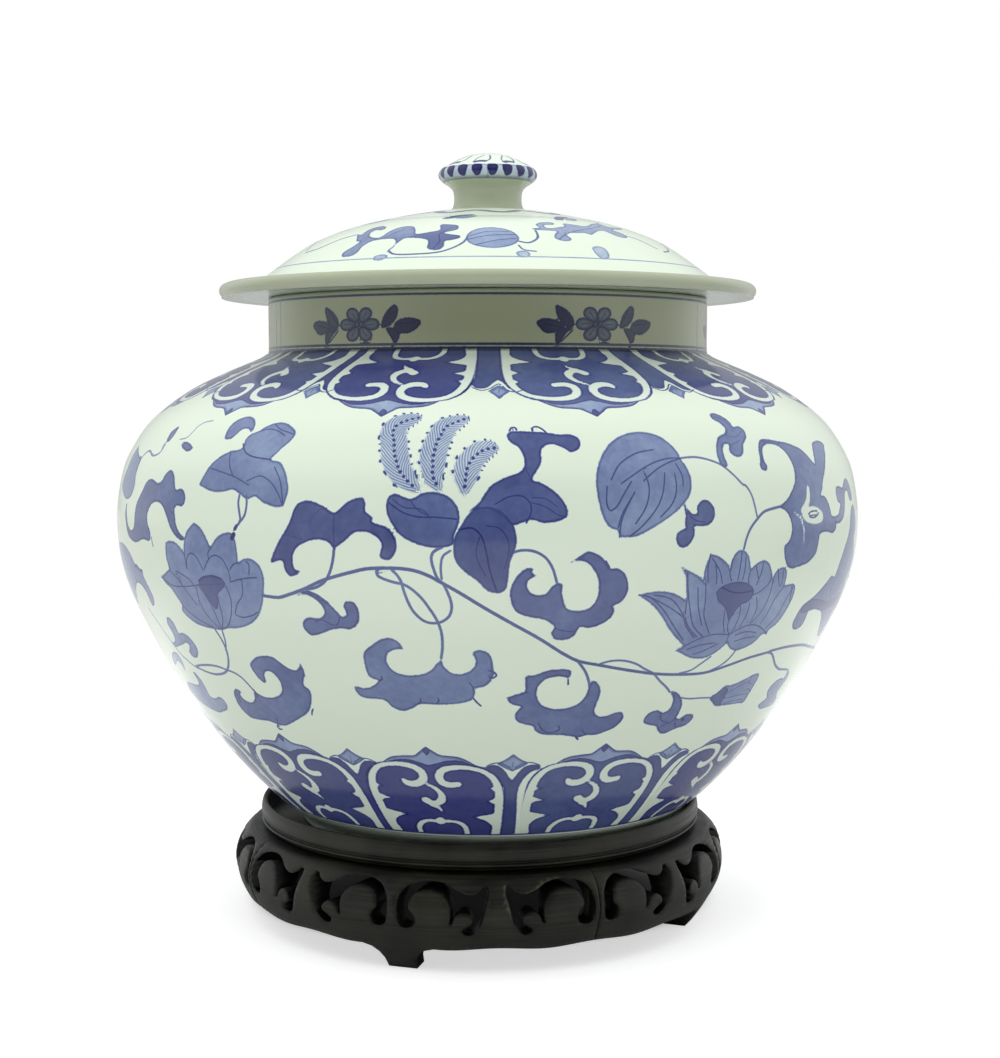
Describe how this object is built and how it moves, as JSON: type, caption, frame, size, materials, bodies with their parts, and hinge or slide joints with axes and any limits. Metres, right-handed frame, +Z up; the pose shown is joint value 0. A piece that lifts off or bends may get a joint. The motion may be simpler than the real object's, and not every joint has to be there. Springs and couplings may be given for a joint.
{
  "type": "lidded porcelain jar on a wooden stand",
  "caption": "Squat round porcelain storage jar with a short neck, a domed lid with a knob, and a carved and pierced round wooden stand on low feet.",
  "frame": {"origin": "on the surface that the stand's feet rest on, below the jar's axis", "axes": "+Z up along the jar's axis, -Y towards the viewer of the picture, +X to their right"},
  "size_m": [0.3, 0.3, 0.311],
  "materials": {
    "porcelain": "clear glaze over blue painting",
    "dark_wood": "dark stained and waxed, satin",
    "hidden_wood": "bare, matt"
  },
  "bodies": {
    "stand": {"top_board": "dark_wood", "apron_quarter_1": "dark_wood", "apron_quarter_2": "dark_wood", "apron_quarter_3": "dark_wood", "apron_quarter_4": "dark_wood", "joint_key_1": "hidden_wood", "joint_key_2": "hidden_wood", "joint_key_3": "hidden_wood", "joint_key_4": "hidden_wood", "board_pin_01": "hidden_wood", "board_pin_02": "hidden_wood", "board_pin_03": "hidden_wood", "board_pin_04": "hidden_wood", "board_pin_05": "hidden_wood", "board_pin_06": "hidden_wood", "board_pin_07": "hidden_wood", "board_pin_08": "hidden_wood", "board_pin_09": "hidden_wood", "board_pin_10": "hidden_wood", "board_pin_11": "hidden_wood", "board_pin_12": "hidden_wood"},
    "jar": {"jar_body": "porcelain"},
    "lid": {"jar_lid": "porcelain"}
  },
  "joints": [
    {"name": "jar_lift", "type": "slide", "parent": "stand", "child": "jar", "axis": [0, 0, 1], "range_m": [0, 0.06]},
    {"name": "lid_lift", "type": "slide", "parent": "jar", "child": "lid", "axis": [0, 0, 1], "range_m": [0, 0.08]}
  ]
}
